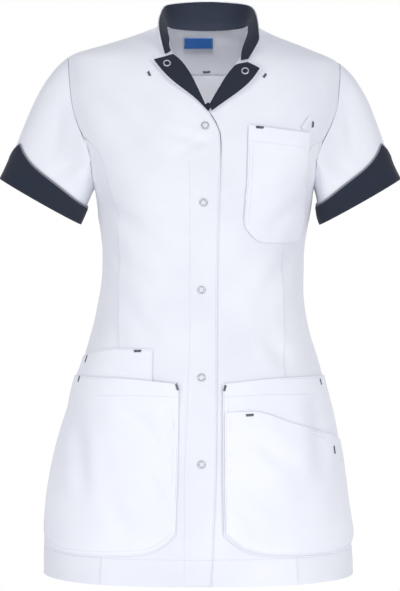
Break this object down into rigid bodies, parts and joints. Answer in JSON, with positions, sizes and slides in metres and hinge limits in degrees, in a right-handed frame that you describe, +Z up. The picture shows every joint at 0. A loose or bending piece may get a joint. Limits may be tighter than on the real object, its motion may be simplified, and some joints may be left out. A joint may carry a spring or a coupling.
{
  "type": "medical tunic",
  "caption": "Short-sleeved women's medical tunic in white with navy collar, lapels and turned-up cuffs, snap front, chest pocket and patch hip pockets, in the form of a worn garment.",
  "frame": {"origin": "on the centre plane, level with the side-neck points, where the shoulders of the wearer carry the garment", "axes": "+Z up, the front faces -Y, +X is the wearer's left and the viewer's right"},
  "size_m": [0.5468, 0.2628, 0.7836],
  "materials": {
    "white_cloth": "matt white cotton-polyester twill",
    "navy_cloth": "matt navy cotton-polyester twill",
    "grey_piping": "matt grey woven piping",
    "snap_steel": "bright nickel plate",
    "label_blue": "plain blue woven label"
  },
  "bodies": {
    "root": {"front_right": "white_cloth", "front_left": "white_cloth", "side_front_right": "white_cloth", "side_front_left": "white_cloth", "back": "white_cloth", "side_back_right": "white_cloth", "side_back_left": "white_cloth", "back_yoke": "white_cloth", "sleeve_right": "white_cloth", "sleeve_left": "white_cloth", "collar_outer": "white_cloth", "revers_right": "white_cloth", "revers_left": "white_cloth", "chest_pocket": "white_cloth", "pen_tab": "white_cloth", "hip_pocket_right": "white_cloth", "hip_pocket_left": "white_cloth", "upper_pocket_right": "white_cloth", "slant_pocket_left": "white_cloth", "collar_inner": "navy_cloth", "revers_facing_right": "navy_cloth", "revers_facing_left": "navy_cloth", "cuff_right": "navy_cloth", "cuff_left": "navy_cloth", "cuff_piping_right": "grey_piping", "cuff_piping_left": "grey_piping", "snap_1": "snap_steel", "snap_2": "snap_steel", "snap_3": "snap_steel", "snap_4": "snap_steel", "snap_5": "snap_steel", "revers_snap_right": "snap_steel", "revers_snap_left": "snap_steel", "neck_label": "label_blue"}
  },
  "joints": []
}
